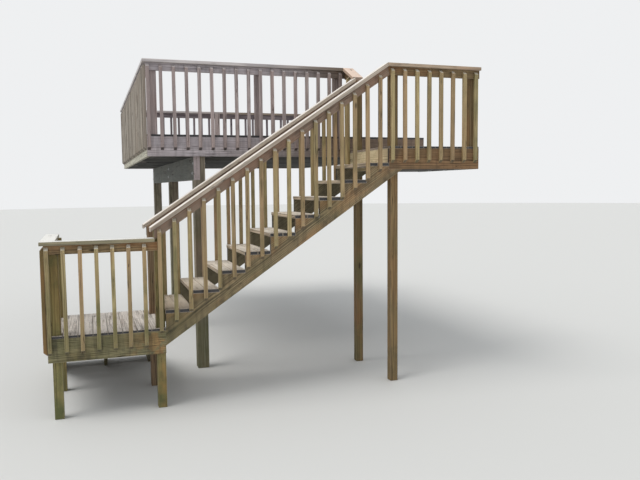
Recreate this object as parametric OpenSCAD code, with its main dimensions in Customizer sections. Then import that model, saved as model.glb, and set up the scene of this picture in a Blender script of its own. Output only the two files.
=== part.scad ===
// Timber deck stairs: a low landing on posts, a straight flight with open risers, an upper landing
// and the deck that it leads to, with 2x2 baluster railings under flat caps.
// Built up from X = 0 at the low landing's left face, Y = 0 at its near face and Z = 0 at the ground.

/* [Stair flight] */
// Height of one step of the flight
rise = 186; // [165:1:200]
// Level distance from one tread front to the next
run = 279.4; // [255:0.1:310]
// Steps from the low landing up to the upper landing
risers = 10; // [7:1:12]
// Width over the outer faces of the two stringers
stair_w = 927; // [820:1:1000]
// Thickness of a tread board
tread_t = 38; // [30:1:45]
// Slot between the two boards of a tread
tread_gap = 4; // [2:1:10]
// Overhang of a tread past the riser cut under it
nosing = 6; // [3:1:20]
// Slot between a tread and the next riser cut
tread_clear = 1.4; // [1:0.1:4]
// Thickness of a stringer board
stringer_t = 38; // [35:1:45]
// Depth of a stringer, square to the slope, from its notch tips down
stringer_depth = 272; // [235:1:300]

/* [Low landing] */
// Height of the low landing's floor over the ground
landing_h = 836; // [700:1:950]
// Length of the low landing along the flight
landing_len = 1130; // [1000:1:1300]
// Depth of the low landing from its near face
landing_depth = 1067; // [1040:1:1250]
// Steps from the low landing down to the ground
ground_risers = 5; // [4:1:6]
// Level distance from one ground step to the next
ground_run = 280; // [260:1:310]

/* [Upper landing] */
// Length of the upper landing from the flight to the wall
upper_len = 1160; // [1000:1:1400]
// Depth of the upper landing from its near face to the deck
upper_depth = 1285; // [1230:1:1500]

/* [Deck] */
// Height of the deck's floor over the upper landing
deck_step = 201; // [150:1:215]
// Width of the deck from its left face to the wall
deck_w = 3690; // [3450:1:4200]
// Length of the deck away from the flight
deck_len = 5147; // [3600:1:6000]
// Overhang of the deck past the left face of its beam
beam_inset = 549; // [300:1:700]
// Distance from the deck's left face to the middle post of its near railing
middle_post_at = 1390; // [900:1:1700]
// Widest spacing of the deck's joists
joist_pitch = 406; // [300:1:610]

/* [Timber] */
// Thickness of rims, joists and railing boards
framing_t = 38; // [35:1:45]
// Depth of rims and joists
rim_h = 235; // [184:1:240]
// Depth of the beam under the deck
beam_h = 286; // [235:1:300]
// Side of a landing or railing post
post_w = 89; // [80:1:100]
// Side of a post under the deck
deck_post_w = 140; // [120:1:150]
// Thickness of the floor boards
floor_t = 25; // [20:1:38]
// Wanted width of a floor board
board_w = 140; // [90:1:150]
// Slot between floor boards
board_gap = 3; // [2:1:10]
// Slot where one board meets another of its own set
joint_gap = 1; // [1:0.5:3]
// Slot between a floor board and a post that it is cut around
post_clear = 3; // [2:1:8]

/* [Railings] */
// Height of the cap over the low landing
low_guard = 924; // [850:1:1000]
// Height of the cap over the upper landing
upper_guard = 910; // [850:1:1000]
// Height of the cap over the deck
deck_guard = 876; // [850:1:1000]
// Height of the handrail over the line of the tread fronts
handrail_h = 931; // [880:1:980]
// Width of a cap
cap_w = 140; // [120:1:150]
// Thickness of a cap
cap_t = 38; // [30:1:45]
// Lip of a cap past the outer faces of the balusters
cap_lip = 2; // [1:1:20]
// Length of the low left cap past the landing's far face
cap_end = 20; // [10:1:40]
// Reach of the handrail past its newel posts
handrail_reach = 41; // [10:1:60]
// How much lower the far handrail lies, to pass under the short railing's cap
far_rail_drop = 18; // [0:1:40]
// Depth of the board on edge under a cap
rail_h = 89; // [80:1:100]
// Lap of the low railing board across the newel post
rail_lap = 30; // [15:1:45]
// Side of a baluster
baluster_w = 38; // [32:1:42]
// Spacing of the balusters, middle to middle
baluster_pitch = 152.4; // [110:0.1:160]
// Place of the first baluster from a corner
baluster_start = 22; // [19:1:40]
// Height of the slanted cut at both ends of a baluster
baluster_bevel = 32; // [5:1:38]
// Height of the baluster ends over the underside of a rim
baluster_lift = 74; // [40:1:110]
// Slot between a baluster and a level cap
baluster_top_gap = 15; // [8:1:30]
// Slot between a baluster and the handrail, at the baluster's middle
baluster_slope_gap = 30; // [20:1:40]
// Depth of the flight's baluster ends under the line of the tread fronts
baluster_drop = 210; // [190:1:225]
// Balusters of the short railing between the upper landing and the deck
step_balusters = 1; // [1:1:3]
// Height of the short railing's board at its foot
step_board_foot = 18; // [10:1:40]
// Height of the short railing's board where it meets the deck's board
step_board_head = 107; // [80:1:120]

/* [Hidden] */

// Slope of the flight and how much longer a square cut grows when it is measured upright
slope = rise / run;
upright = sqrt(1 + slope * slope);
treads = risers - 1;

// Faces along X
flight_x = landing_len;
upper_x = flight_x + treads * run;
wall_x = upper_x + upper_len;
deck_x = wall_x - deck_w;

// Faces along Y
deck_y = upper_depth;
deck_far_y = deck_y + deck_len;
far_post_y = stair_w;
far_newel_y = stair_w - stringer_t - post_w;

// Floor heights, the undersides of their rims and the tops of their caps
upper_h = landing_h + risers * rise;
deck_h = upper_h + deck_step;
frame_h = floor_t + rim_h;
low_rim_z = landing_h - frame_h;
upper_rim_z = upper_h - frame_h;
deck_rim_z = deck_h - frame_h;
low_cap_z = landing_h + low_guard;
upper_cap_z = upper_h + upper_guard;
deck_cap_z = deck_h + deck_guard;
beam_z = deck_rim_z - beam_h;

// A cap covers the balusters on the outside of its rim
cap_over = baluster_w + cap_lip;
cap_in = cap_w - cap_over;
// The railing's end post at the way onto the deck stands clear of the short railing's cap
entry_x = upper_x - cap_over;

// The short railing's cap climbs from the near face of its post to the deck's cap
step_y = far_post_y + post_w;
step_end_y = deck_y - cap_over;
step_slope = (deck_cap_z - upper_cap_z) / (step_end_y - far_post_y);
step_upright = sqrt(1 + step_slope * step_slope);

// The frame's own origin is at the middle of the ground that the whole object covers
origin_x = (wall_x - cap_over) / 2;
origin_y = deck_far_y / 2;

// Sloping lines: the tread fronts, the near handrail's top and underside, the far handrail's
// underside, and the top and underside of the short railing's cap
function nose_z(x) = landing_h + rise + slope * (x - flight_x);
function hand_z(x) = nose_z(x) + handrail_h;
function hand_under_z(x) = hand_z(x) - cap_t * upright;
function hand_x(z) = flight_x + (z - handrail_h - landing_h - rise) / slope;
function far_under_z(x) = hand_under_z(x) - far_rail_drop;
function step_z(y) = upper_cap_z + step_slope * (y - far_post_y);
function step_under_z(y) = step_z(y) - cap_t * step_upright;
// How far the underside's corner lies past the top's corner where a sloped board meets a level one
function mitre(depth) = depth * (upright - 1) / slope;

// Middle lines of the joists and of the deck's railing posts
deck_bays = ceil((deck_len - framing_t) / joist_pitch);
deck_bay = (deck_len - framing_t) / deck_bays;
function deck_line(k) = deck_y + framing_t / 2 + k * deck_bay;
low_joists = [for (k = [1:2]) framing_t + post_w + k * (far_newel_y - framing_t - post_w) / 3];
upper_joists = concat(
    [for (k = [1:2]) framing_t + post_w + k * (far_post_y - framing_t - post_w) / 3],
    [step_y + framing_t / 2, deck_y - framing_t / 2]
);
left_posts = [for (k = [1:2]) deck_line(floor(k * deck_bays / 3) + 0.5)];

// Middle lines of the balusters along X, for the whole near side, and which stand where
newel_x = flight_x - post_w;
near_balusters = [for (x = [baluster_start : baluster_pitch : wall_x - baluster_w / 2]) x];
low_balusters = [for (x = near_balusters) if (x + baluster_w / 2 < newel_x) x];
flight_balusters = [
    for (x = near_balusters) if (x + baluster_w / 2 >= newel_x && x < upper_x - baluster_w / 2) x
];
far_balusters = [for (x = flight_balusters) if (x - baluster_w / 2 > flight_x) x];
upper_balusters = [for (x = near_balusters) if (x >= upper_x - baluster_w / 2) x];

module placed() {
    translate([-origin_x, -origin_y, 0]) children();
}

// A straight board or post between two corners
module block(x, y, z) {
    translate([x[0], y[0], z[0]]) cube([x[1] - x[0], y[1] - y[0], z[1] - z[0]]);
}

// An outline drawn in X and Z, made as thick as the stretch of Y
module along_y(y, outline) {
    translate([0, y[1], 0]) rotate([90, 0, 0]) linear_extrude(height = y[1] - y[0]) polygon(outline);
}

// An outline drawn in Y and Z, made as thick as the stretch of X
module along_x(x, outline) {
    translate([x[0], 0, 0]) rotate([90, 0, 90]) linear_extrude(height = x[1] - x[0]) polygon(outline);
}

module post(x, y, z) {
    block([x, x + post_w], [y, y + post_w], z);
}

// A baluster with both ends cut on the slant, its back at Y = 0 and its face towards -Y
module baluster(z) {
    along_x([-baluster_w / 2, baluster_w / 2], [
        [0, z[0]],
        [-baluster_w, z[0] + baluster_bevel],
        [-baluster_w, z[1] - baluster_bevel],
        [0, z[1]]
    ]);
}

// Turned so that its back lies on the near, left or far face of a rim
module near_baluster(x, y, z) {
    translate([x, y, 0]) baluster(z);
}
module left_baluster(x, y, z) {
    translate([x, y, 0]) rotate([0, 0, -90]) baluster(z);
}
module far_baluster(x, y, z) {
    translate([x, y, 0]) rotate([0, 0, 180]) baluster(z);
}

// Floor boards that run along Y and share the width evenly
module floor_boards(x, y, z) {
    width = x[1] - x[0];
    count = round((width + board_gap) / (board_w + board_gap));
    pitch = (width + board_gap) / count;
    for (k = [0 : count - 1]) {
        left = x[0] + k * pitch;
        block([left, left + pitch - board_gap], y, z);
    }
}

// The hole that floor boards leave around a post
module post_hole(x, y, z) {
    clear = post_clear;
    block([x - clear, x + post_w + clear], [y - clear, y + post_w + clear], [z[0] - clear, z[1] + clear]);
}

// Heights that the railings share: the board under a cap and the balusters beside it
function rail_z(cap_z) = [cap_z - cap_t - rail_h, cap_z - cap_t];
function level_baluster_z(rim_z, cap_z) = [rim_z + baluster_lift, cap_z - cap_t - baluster_top_gap];
function slope_baluster_z(x, under_z) = [nose_z(x) - baluster_drop, under_z - baluster_slope_gap];

low_post_far_y = landing_depth - framing_t - post_w;

module lower_landing_posts() {
    color("tan") placed() for (y = [framing_t, low_post_far_y]) {
        post(framing_t, y, [0, low_cap_z - cap_t]);
    }
}

// The newels stand flush with the landing's end, so the end rim sits in a notch in each, and
// their tops are cut on the slope of the handrail, which lies lower by the drop at the far newel
module newel_post(y, drop) {
    difference() {
        along_y([y, y + post_w], [
            [newel_x, 0],
            [flight_x, 0],
            [flight_x, hand_under_z(flight_x) - drop],
            [newel_x, hand_under_z(newel_x) - drop]
        ]);
        notch_z = [low_rim_z, landing_h - floor_t];
        block([flight_x - framing_t, flight_x + 1], [y - 1, y + post_w + 1], notch_z);
    }
}

module newel_posts() {
    color("peru") placed() {
        newel_post(framing_t, 0);
        newel_post(far_newel_y, far_rail_drop);
    }
}

module lower_landing_rims() {
    z = [low_rim_z, landing_h - floor_t];
    far = landing_depth - framing_t;
    across = [framing_t + joint_gap, far - joint_gap];
    color("sienna") placed() {
        block([0, flight_x], [0, framing_t], z);
        block([0, flight_x], [far, landing_depth], z);
        block([0, framing_t], across, z);
        block([flight_x - framing_t, flight_x], across, z);
    }
}

module joist(x, y, z) {
    block(x, [y - framing_t / 2, y + framing_t / 2], z);
}

module lower_landing_joists() {
    color("burlywood") placed() for (y = low_joists) {
        joist([framing_t, flight_x - framing_t], y, [low_rim_z, landing_h - floor_t]);
    }
}

module lower_landing_boards() {
    z = [landing_h - floor_t, landing_h];
    color("rosybrown") placed() difference() {
        floor_boards([0, flight_x], [0, landing_depth], z);
        for (y = [framing_t, low_post_far_y]) post_hole(framing_t, y, z);
        for (y = [framing_t, far_newel_y]) post_hole(newel_x, y, z);
    }
}

module lower_near_balusters() {
    color("darkkhaki") placed() for (x = low_balusters) {
        near_baluster(x, 0, level_baluster_z(low_rim_z, low_cap_z));
    }
}

module lower_left_balusters() {
    color("darkkhaki") placed() for (y = [baluster_start : baluster_pitch : landing_depth - baluster_w / 2]) {
        left_baluster(0, y, level_baluster_z(low_rim_z, low_cap_z));
    }
}

module lower_rail_boards() {
    color("peru") placed() {
        block([0, newel_x + rail_lap], [0, framing_t], rail_z(low_cap_z));
        block([0, framing_t], [framing_t + joint_gap, landing_depth], rail_z(low_cap_z));
    }
}

module lower_caps() {
    z = [low_cap_z - cap_t, low_cap_z];
    color("wheat") placed() {
        block([-cap_over, newel_x], [-cap_over, cap_in], z);
        block([-cap_over, cap_in], [cap_in + joint_gap, landing_depth + cap_end], z);
    }
}

// Ground steps leave the low landing's far side, where it has no railing
ground_rise = landing_h / ground_risers;
ground_treads_n = ground_risers - 1;
ground_slope = ground_rise / ground_run;
ground_tip_z = landing_h - ground_rise - tread_t + ground_slope * (ground_run - nosing);
ground_under_z = ground_tip_z - stringer_depth * sqrt(1 + ground_slope * ground_slope);

// Past the last tread there is only the ground
function ground_seat_z(k) = k > ground_treads_n ? 0 : landing_h - k * ground_rise - tread_t;

// From the rim down the steps, along the ground and back up the underside
function ground_outline() = concat(
    [[0, ground_under_z], [0, ground_seat_z(1)]],
    [for (k = [1 : ground_treads_n], down = [0, 1]) [k * ground_run - nosing, ground_seat_z(k + down)]],
    [[ground_under_z / ground_slope, 0]]
);

module ground_stringers() {
    half = (flight_x - stringer_t) / 2;
    color("sienna") placed() for (k = [0 : 2]) {
        translate([0, landing_depth, 0]) along_x([k * half, k * half + stringer_t], ground_outline());
    }
}

module ground_treads() {
    depth = ground_run - tread_clear;
    board = (depth - tread_gap) / 2;
    color("rosybrown") placed() for (k = [1 : ground_treads_n], b = [0, 1]) {
        front = landing_depth + (k - 1) * ground_run + b * (board + tread_gap);
        top = landing_h - k * ground_rise;
        block([0, flight_x], [front, front + board], [top - tread_t, top]);
    }
}

// A sawtooth stringer: riser cuts and tread seats above, one straight edge below, a plumb cut at
// the foot and a tail that runs on under the upper landing's rim. Its first riser cut stands on
// the low landing's floor.
last_seat_z = landing_h + treads * rise - tread_t;
tail_z = min(upper_rim_z, last_seat_z);
stringer_drop = tread_t + nosing * slope + stringer_depth * upright;
tail_x = flight_x + (tail_z + stringer_drop - landing_h - rise) / slope;

function riser_cut_x(k) = min(flight_x + (k - 1) * run + nosing, upper_x);

function stringer_outline() = concat(
    [[flight_x, nose_z(flight_x) - stringer_drop], [flight_x, landing_h], [riser_cut_x(1), landing_h]],
    [for (k = [1 : treads], end = [0, 1]) [riser_cut_x(k + end), landing_h + k * rise - tread_t]],
    [[upper_x, tail_z], [tail_x, tail_z]]
);

module near_stringer() {
    color("saddlebrown") placed() along_y([0, stringer_t], stringer_outline());
}

module far_stringer() {
    color("saddlebrown") placed() along_y([stair_w - stringer_t, stair_w], stringer_outline());
}

// A tread is two boards side by side, and the top one stops at the upper landing's rim
module stair_treads() {
    color("rosybrown") placed() for (k = [1 : treads]) {
        front = flight_x + (k - 1) * run;
        back = min(front + run + nosing, upper_x) - tread_clear;
        board = (back - front - tread_gap) / 2;
        top = landing_h + k * rise;
        for (x = [front, back - board]) {
            block([x, x + board], [0, stair_w], [top - tread_t, top]);
        }
    }
}

module near_flight_balusters() {
    color("darkkhaki") placed() for (x = flight_balusters) {
        near_baluster(x, 0, slope_baluster_z(x, hand_under_z(x)));
    }
}

module far_flight_balusters() {
    color("darkkhaki") placed() for (x = far_balusters) {
        far_baluster(x, stair_w, slope_baluster_z(x, far_under_z(x)));
    }
}

// The near handrail is mitred to the level cap, and the far one ends at the short railing's cap
meet_x = hand_x(upper_cap_z);
hand_start = newel_x - handrail_reach;

module handrail_caps() {
    color("wheat") placed() {
        along_y([-cap_over, cap_in], [
            [hand_start, hand_under_z(hand_start)],
            [meet_x + mitre(cap_t) - joint_gap, hand_under_z(meet_x + mitre(cap_t) - joint_gap)],
            [meet_x - joint_gap, hand_z(meet_x - joint_gap)],
            [hand_start, hand_z(hand_start)]
        ]);
        along_y([stair_w - cap_in, stair_w + cap_over], [
            [hand_start, far_under_z(hand_start)],
            [entry_x, far_under_z(entry_x)],
            [entry_x, hand_z(entry_x) - far_rail_drop],
            [hand_start, hand_z(hand_start) - far_rail_drop]
        ]);
    }
}

rail_drop = rail_h * upright;
board_top_x = meet_x + mitre(cap_t);
board_foot_x = meet_x + mitre(cap_t + rail_h);

module handrail_boards() {
    far_end = upper_x + post_w / 2;
    color("peru") placed() {
        along_y([0, framing_t], [
            [newel_x, hand_under_z(newel_x) - rail_drop],
            [board_foot_x - joint_gap, hand_under_z(board_foot_x - joint_gap) - rail_drop],
            [board_top_x - joint_gap, hand_under_z(board_top_x - joint_gap)],
            [newel_x, hand_under_z(newel_x)]
        ]);
        along_y([stair_w - framing_t, stair_w], [
            [newel_x, far_under_z(newel_x) - rail_drop],
            [far_end, far_under_z(far_end) - rail_drop],
            [far_end, far_under_z(entry_x)],
            [entry_x, far_under_z(entry_x)],
            [newel_x, far_under_z(newel_x)]
        ]);
    }
}

near_post_x = upper_x + framing_t;

module upper_landing_posts() {
    top = upper_cap_z - cap_t;
    color("peru") placed() {
        post(near_post_x, framing_t, [0, top]);
        post(wall_x - post_w, framing_t, [upper_rim_z, top]);
        difference() {
            along_x([upper_x, upper_x + post_w], [
                [far_post_y, 0],
                [step_y, 0],
                [step_y, step_under_z(step_y)],
                [far_post_y, step_under_z(far_post_y)]
            ]);
            block([upper_x - 1, near_post_x], [far_post_y - 1, step_y + 1], [upper_rim_z, upper_h - floor_t]);
        }
    }
}

module upper_landing_rims() {
    z = [upper_rim_z, upper_h - floor_t];
    color("sienna") placed() {
        block([upper_x, wall_x], [0, framing_t], z);
        block([upper_x, near_post_x], [framing_t + joint_gap, deck_y], z);
    }
}

module upper_landing_joists() {
    color("burlywood") placed() for (y = upper_joists) {
        joist([near_post_x, wall_x - framing_t], y, [upper_rim_z, upper_h - floor_t]);
    }
}

module upper_landing_boards() {
    z = [upper_h - floor_t, upper_h];
    color("rosybrown") placed() difference() {
        floor_boards([upper_x, wall_x], [0, deck_y], z);
        post_hole(near_post_x, framing_t, z);
        post_hole(wall_x - post_w, framing_t, z);
        post_hole(upper_x, far_post_y, z);
    }
}

module upper_near_balusters() {
    color("darkkhaki") placed() for (x = upper_balusters) {
        near_baluster(x, 0, level_baluster_z(upper_rim_z, upper_cap_z));
    }
}

module upper_rail_board() {
    z = rail_z(upper_cap_z);
    color("peru") placed() along_y([0, framing_t], [
        [board_foot_x, z[0]],
        [wall_x, z[0]],
        [wall_x, z[1]],
        [board_top_x, z[1]]
    ]);
}

module upper_cap() {
    color("wheat") placed() along_y([-cap_over, cap_in], [
        [meet_x + mitre(cap_t), upper_cap_z - cap_t],
        [wall_x, upper_cap_z - cap_t],
        [wall_x, upper_cap_z],
        [meet_x, upper_cap_z]
    ]);
}

// The short railing's cap, cut plumb at both ends
module step_rail_cap() {
    color("wheat") placed() along_x([entry_x, upper_x + cap_in], [
        [far_post_y, step_under_z(far_post_y)],
        [step_end_y, step_under_z(step_end_y)],
        [step_end_y, deck_cap_z],
        [far_post_y, upper_cap_z]
    ]);
}

// The board under it is a wedge: its underside is nearly level, and its top follows the cap up
// and then runs level under the deck's cap
module step_rail_board() {
    deck_under_z = deck_cap_z - cap_t;
    level_y = far_post_y + (deck_under_z - upper_cap_z + cap_t * step_upright) / step_slope;
    color("peru") placed() along_x([upper_x, near_post_x], [
        [step_y, step_under_z(step_y) - step_board_foot],
        [deck_y, deck_under_z - step_board_head],
        [deck_y, deck_under_z],
        [level_y, deck_under_z],
        [step_y, step_under_z(step_y)]
    ]);
}

module step_rail_balusters() {
    pitch = (deck_y - baluster_w - step_y) / (step_balusters + 1);
    color("darkkhaki") placed() for (k = [1 : step_balusters]) {
        y = step_y + k * pitch;
        left_baluster(upper_x, y, [upper_rim_z + baluster_lift, step_under_z(y) - baluster_slope_gap]);
    }
}

// The ledgers are bolted flat to the wall and stop short of the railings' end posts
module wall_ledgers() {
    x = [wall_x - framing_t, wall_x];
    near = framing_t + post_w + joint_gap;
    color("burlywood") placed() {
        block(x, [near, deck_y], [upper_rim_z, upper_h - floor_t]);
        block(x, [deck_y + framing_t + joint_gap, deck_far_y - near], [deck_rim_z, deck_h - floor_t]);
    }
}

beam_x = deck_x + beam_inset;
beam_w = 2 * framing_t + joint_gap;
beam_y = [deck_y + framing_t, deck_far_y - framing_t];

// A deck post is notched so that the beam sits on a shoulder and a tongue runs up beside it
module deck_post(y) {
    difference() {
        block([beam_x, beam_x + deck_post_w], [y, y + deck_post_w], [0, deck_rim_z]);
        block([beam_x - 1, beam_x + beam_w], [y - 1, y + deck_post_w + 1], [beam_z, deck_rim_z + 1]);
    }
}

module deck_posts() {
    span = beam_y[1] - beam_y[0] - deck_post_w;
    color("gray") placed() for (k = [0 : 2]) deck_post(beam_y[0] + k * span / 2);
}

module deck_beam() {
    color("dimgray") placed() for (x = [beam_x, beam_x + framing_t + joint_gap]) {
        block([x, x + framing_t], beam_y, [beam_z, deck_rim_z]);
    }
}

module deck_joists() {
    color("burlywood") placed() for (k = [1 : deck_bays - 1]) {
        joist([deck_x + framing_t, wall_x - framing_t], deck_line(k), [deck_rim_z, deck_h - floor_t]);
    }
}

module deck_rims() {
    z = [deck_rim_z, deck_h - floor_t];
    across = [deck_y + framing_t + joint_gap, deck_far_y - framing_t - joint_gap];
    color("sienna") placed() {
        block([deck_x, wall_x], [deck_y, deck_y + framing_t], z);
        block([deck_x, wall_x], [deck_far_y - framing_t, deck_far_y], z);
        block([deck_x, deck_x + framing_t], across, z);
    }
}

// Corners of the deck's railing posts: the near row, the left row and the far row
deck_near_row = deck_y + framing_t;
deck_far_row = deck_far_y - framing_t - post_w;
deck_left_row = deck_x + framing_t;
deck_rail_post_places = concat(
    [[deck_left_row, deck_near_row], [deck_x + middle_post_at - post_w / 2, deck_near_row]],
    [[entry_x - post_w, deck_near_row]],
    [for (y = left_posts) [deck_left_row, y - post_w / 2]],
    [[deck_left_row, deck_far_row], [deck_x + (deck_w - post_w) / 2, deck_far_row]],
    [[wall_x - post_w, deck_far_row]]
);

module deck_boards() {
    z = [deck_h - floor_t, deck_h];
    color("rosybrown") placed() difference() {
        floor_boards([deck_x, wall_x], [deck_y, deck_far_y], z);
        for (place = deck_rail_post_places) post_hole(place[0], place[1], z);
    }
}

module deck_rail_posts() {
    color("gray") placed() for (place = deck_rail_post_places) {
        post(place[0], place[1], [deck_rim_z, deck_cap_z - cap_t]);
    }
}

deck_baluster_z = level_baluster_z(deck_rim_z, deck_cap_z);

module deck_near_balusters() {
    color("darkkhaki") placed() for (x = [deck_x + baluster_start : baluster_pitch : entry_x]) {
        near_baluster(x, deck_y, deck_baluster_z);
    }
}

module deck_left_balusters() {
    first = deck_y + baluster_start;
    color("darkkhaki") placed() for (y = [first : baluster_pitch : deck_far_y - baluster_w / 2]) {
        left_baluster(deck_x, y, deck_baluster_z);
    }
}

module deck_far_balusters() {
    last = wall_x - baluster_w / 2;
    color("darkkhaki") placed() for (x = [deck_x + baluster_start : baluster_pitch : last]) {
        far_baluster(x, deck_far_y, deck_baluster_z);
    }
}

module deck_rail_boards() {
    z = rail_z(deck_cap_z);
    across = [deck_y + framing_t + joint_gap, deck_far_y - framing_t - joint_gap];
    color("peru") placed() {
        block([deck_x, near_post_x], [deck_y, deck_y + framing_t], z);
        block([deck_x, wall_x], [deck_far_y - framing_t, deck_far_y], z);
        block([deck_x, deck_x + framing_t], across, z);
    }
}

module deck_caps() {
    z = [deck_cap_z - cap_t, deck_cap_z];
    left = deck_x - cap_over;
    color("wheat") placed() {
        block([left, upper_x + cap_in], [deck_y - cap_over, deck_y + cap_in], z);
        block([left, wall_x], [deck_far_y - cap_in, deck_far_y + cap_over], z);
        block([left, deck_x + cap_in], [deck_y + cap_in + joint_gap, deck_far_y - cap_in - joint_gap], z);
    }
}

lower_landing_posts();
newel_posts();
lower_landing_rims();
lower_landing_joists();
lower_landing_boards();
lower_near_balusters();
lower_left_balusters();
lower_rail_boards();
lower_caps();
ground_stringers();
ground_treads();
near_stringer();
far_stringer();
stair_treads();
near_flight_balusters();
far_flight_balusters();
handrail_caps();
handrail_boards();
upper_landing_posts();
upper_landing_rims();
upper_landing_joists();
upper_landing_boards();
upper_near_balusters();
upper_rail_board();
upper_cap();
step_rail_cap();
step_rail_board();
step_rail_balusters();
wall_ledgers();
deck_posts();
deck_beam();
deck_joists();
deck_rims();
deck_boards();
deck_rail_posts();
deck_near_balusters();
deck_left_balusters();
deck_far_balusters();
deck_rail_boards();
deck_caps();
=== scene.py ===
# %% [markdown]
# # Wooden deck stairs, dressed board by board
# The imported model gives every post, rim, tread, baluster and cap its place. This lesson gives each of
# them what the model leaves out: eased edges, grain that runs along each board, its own tone,
# weathering, nail heads and the steel hangers under the floors.
#
# The model comes first, because every later step reads its sizes from it instead of guessing them.

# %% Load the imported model
import math
import random
import bmesh
import bpy
from mathutils import Matrix, Vector


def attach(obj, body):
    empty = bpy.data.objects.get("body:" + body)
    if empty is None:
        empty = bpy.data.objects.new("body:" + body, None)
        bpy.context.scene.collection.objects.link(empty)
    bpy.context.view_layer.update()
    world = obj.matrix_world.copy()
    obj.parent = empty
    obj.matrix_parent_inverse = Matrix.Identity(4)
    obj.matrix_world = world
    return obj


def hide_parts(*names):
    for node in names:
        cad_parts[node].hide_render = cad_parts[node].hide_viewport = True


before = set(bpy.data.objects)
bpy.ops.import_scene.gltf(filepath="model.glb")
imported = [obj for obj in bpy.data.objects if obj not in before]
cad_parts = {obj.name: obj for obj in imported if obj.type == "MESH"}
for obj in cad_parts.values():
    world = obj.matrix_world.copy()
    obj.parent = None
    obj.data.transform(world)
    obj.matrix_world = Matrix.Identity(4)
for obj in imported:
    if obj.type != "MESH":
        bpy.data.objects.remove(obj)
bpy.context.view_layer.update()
print("nodes:", len(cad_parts))

# %% [markdown]
# ## Nodes and meshes in one line each
# Light, materials and the trees that repeat a piece are all built from nodes, and all pieces are
# built as meshes in code. A few small helpers keep the wiring short, so that each recipe stands out.

# %% Write helpers for nodes and meshes


def fill(tree, node, sockets):
    """Each socket, by its name or number, takes a value or a wire from another node's output."""
    for key, value in sockets.items():
        if isinstance(value, bpy.types.NodeSocket):
            tree.links.new(value, node.inputs[key])
        else:
            node.inputs[key].default_value = value


def add_node(tree, kind, sockets=None, **settings):
    """A new node with its settings and what goes into its sockets."""
    node = tree.nodes.new(kind)
    for key, value in settings.items():
        setattr(node, key, value)
    fill(tree, node, sockets or {})
    return node


def new_material(name):
    """A material, its tree and its shader."""
    material = bpy.data.materials.new(name)
    material.use_nodes = True
    return material, material.node_tree, material.node_tree.nodes["Principled BSDF"]


def linked(name, data):
    """A new object in the scene."""
    made = bpy.data.objects.new(name, data)
    bpy.context.scene.collection.objects.link(made)
    return made


def object_of(name, bm):
    """A mesh object in the scene from a bmesh, which is used up."""
    mesh = bpy.data.meshes.new(name)
    bm.to_mesh(mesh)
    bm.free()
    return linked(name, mesh)


print("helpers:", [helper.__name__ for helper in (fill, add_node, new_material, linked, object_of)])

# %% [markdown]
# ## The camera
# The photograph was taken from about 2.3 m above the posts' feet, turned a little to the right. A
# camera is a place, three directions and a lens. Writing the three directions as the columns of a
# matrix is safer than three Euler angles, because nothing can turn in the wrong order. The lens bent
# straight lines a little, which a plain camera can't, and the small shift takes up part of that.

# %% Put the camera at the photograph's place
EYE = Vector((-1.9535, -9.6767, 2.2611))
YAW, PITCH, ROLL = 0.3120, -0.0790, -0.0121
FOCAL_PX, PHOTO_W = 633.71, 640
SHIFT_PX = (26.16, -3.67)
SEEN_TO = 200


def aim(yaw, pitch, roll):
    """Right, up and forward directions of a camera that looks along +Y when all three are zero."""
    forward = Vector((math.sin(yaw) * math.cos(pitch), math.cos(yaw) * math.cos(pitch), math.sin(pitch)))
    right = Vector((math.cos(yaw), -math.sin(yaw), 0))
    up = right.cross(forward)
    return (right * math.cos(roll) + up * math.sin(roll), up * math.cos(roll) - right * math.sin(roll), forward)


right, up, forward = aim(YAW, PITCH, ROLL)
camera = linked("camera", bpy.data.cameras.new("camera"))
camera.matrix_world = Matrix.Translation(EYE) @ Matrix((right, up, -forward)).transposed().to_4x4()
camera.data.lens = camera.data.sensor_width * FOCAL_PX / PHOTO_W
camera.data.shift_x = SHIFT_PX[0] / PHOTO_W
camera.data.shift_y = SHIFT_PX[1] / PHOTO_W
camera.data.clip_end = SEEN_TO
bpy.context.scene.camera = camera
print("lens", round(camera.data.lens, 2), "mm")

# %% [markdown]
# ## Light and floor
# The photograph's light is soft and comes from everywhere, a little more from above and from the
# left. A world colour gives the even part, and one wide sun gives the direction. The camera and
# mirror-like rays see a plain pale backdrop instead of that world, so the steel reflects what is seen.
# The floor is a plain pale disc that only catches the shadow.

# %% Light the scene
scene = bpy.context.scene
scene.view_settings.view_transform = "Standard"
SKY_LIGHT, SUN_LIGHT, SUN_SPREAD = 0.72, 1.55, 35
SKY_COLOUR, SUN_COLOUR = (0.95, 0.98, 1.0, 1), (1.0, 0.98, 0.94)
BACKDROP = (0.86, 0.87, 0.88, 1)
SUN_WAY = Vector((0.62, 0.10, -1.0))


def sky(strength, seen):
    """A world that lights with one strength and is seen as a plain pale backdrop."""
    world = bpy.data.worlds.new("soft_light")
    world.use_nodes = True
    tree = world.node_tree
    tree.nodes.clear()
    lit = add_node(tree, "ShaderNodeBackground", {"Color": SKY_COLOUR, "Strength": strength}).outputs[0]
    shown = add_node(tree, "ShaderNodeBackground", {"Color": seen}).outputs[0]
    ray = add_node(tree, "ShaderNodeLightPath").outputs
    straight = {0: ray["Is Camera Ray"], 1: ray["Is Glossy Ray"]}
    direct = add_node(tree, "ShaderNodeMath", straight, operation="MAXIMUM").outputs[0]
    mix = add_node(tree, "ShaderNodeMixShader", {0: direct, 1: lit, 2: shown})
    add_node(tree, "ShaderNodeOutputWorld", {"Surface": mix.outputs[0]})
    return world


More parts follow.
